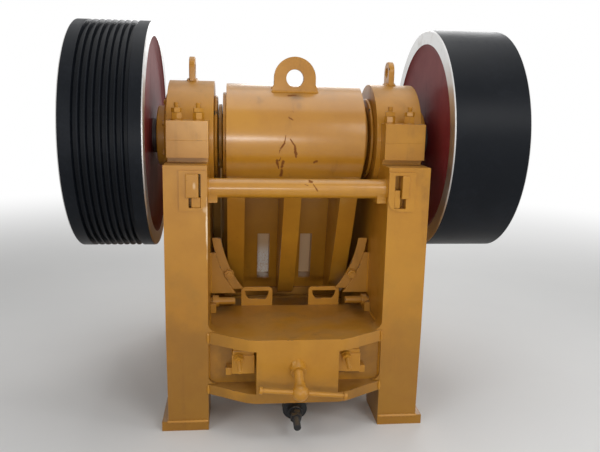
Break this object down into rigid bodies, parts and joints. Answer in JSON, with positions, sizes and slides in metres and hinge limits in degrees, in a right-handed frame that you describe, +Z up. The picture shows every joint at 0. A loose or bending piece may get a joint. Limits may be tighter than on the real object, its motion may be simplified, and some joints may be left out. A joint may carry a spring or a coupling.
{
  "type": "single-toggle jaw crusher",
  "caption": "Jaw crusher with toothed jaw plates, an eccentric shaft between a flywheel and a grooved belt wheel, and a bulged rear beam with its toggle adjustment.",
  "frame": {"origin": "on the ground, in the middle of the four foot bolts", "axes": "+X along the shaft towards the flywheel, +Y from the rear beam to the front wall, +Z up"},
  "size_m": [1.748, 1.5399, 1.6339],
  "materials": {
    "yellow_paint": "semi-gloss",
    "wheel_paint": "gloss",
    "machined_steel": "brushed",
    "manganese_steel": "cast",
    "black_steel": "semi-gloss"
  },
  "bodies": {
    "frame": {"left_side_wall": "yellow_paint", "right_side_wall": "yellow_paint", "front_wall": "yellow_paint", "rear_beam": "yellow_paint", "tie_tube": "yellow_paint", "slot_keys": "yellow_paint", "fixed_jaw_plate": "manganese_steel", "left_cheek_plate": "manganese_steel", "right_cheek_plate": "manganese_steel", "left_bearing_base": "yellow_paint", "right_bearing_base": "yellow_paint", "left_bearing_cap": "yellow_paint", "right_bearing_cap": "yellow_paint", "cap_eyes": "yellow_paint", "main_bearings": "machined_steel", "inner_covers": "yellow_paint", "outer_covers": "yellow_paint", "toggle_plate": "machined_steel", "toggle_block": "yellow_paint", "left_shim": "yellow_paint", "right_shim": "yellow_paint", "spring_bracket": "yellow_paint", "tension_spring": "black_steel", "adjusting_screw": "yellow_paint", "adjusting_handle": "yellow_paint", "pocket_blocks": "yellow_paint", "corner_plates": "yellow_paint", "keeper_bars": "yellow_paint"},
    "shaft": {"eccentric_shaft": "machined_steel", "throw_rings": "yellow_paint", "flywheel": "wheel_paint", "belt_sheave": "wheel_paint"},
    "jaw": {"swing_jaw": "yellow_paint", "swing_jaw_plate": "manganese_steel", "jaw_wedge": "yellow_paint", "lifting_lug": "yellow_paint", "jaw_covers": "yellow_paint", "jaw_bearings": "machined_steel", "toggle_pad": "machined_steel", "tension_rod": "black_steel", "rod_pin": "machined_steel", "spring_cup": "black_steel"}
  },
  "joints": [
    {"name": "shaft_turn", "type": "hinge", "parent": "frame", "child": "shaft", "pos_m": [0, -0.27, 1.168], "axis": [1, 0, 0], "continuous": true, "deforming": ["tension_spring"]},
    {"name": "jaw_swing", "type": "hinge", "parent": "shaft", "child": "jaw", "pos_m": [0, -0.282, 1.168], "axis": [1, 0, 0], "continuous": true, "deforming": ["tension_spring"]}
  ],
  "couplings": [
    {"joint": "jaw_swing", "follows": "shaft_turn", "ratio": -1}
  ]
}
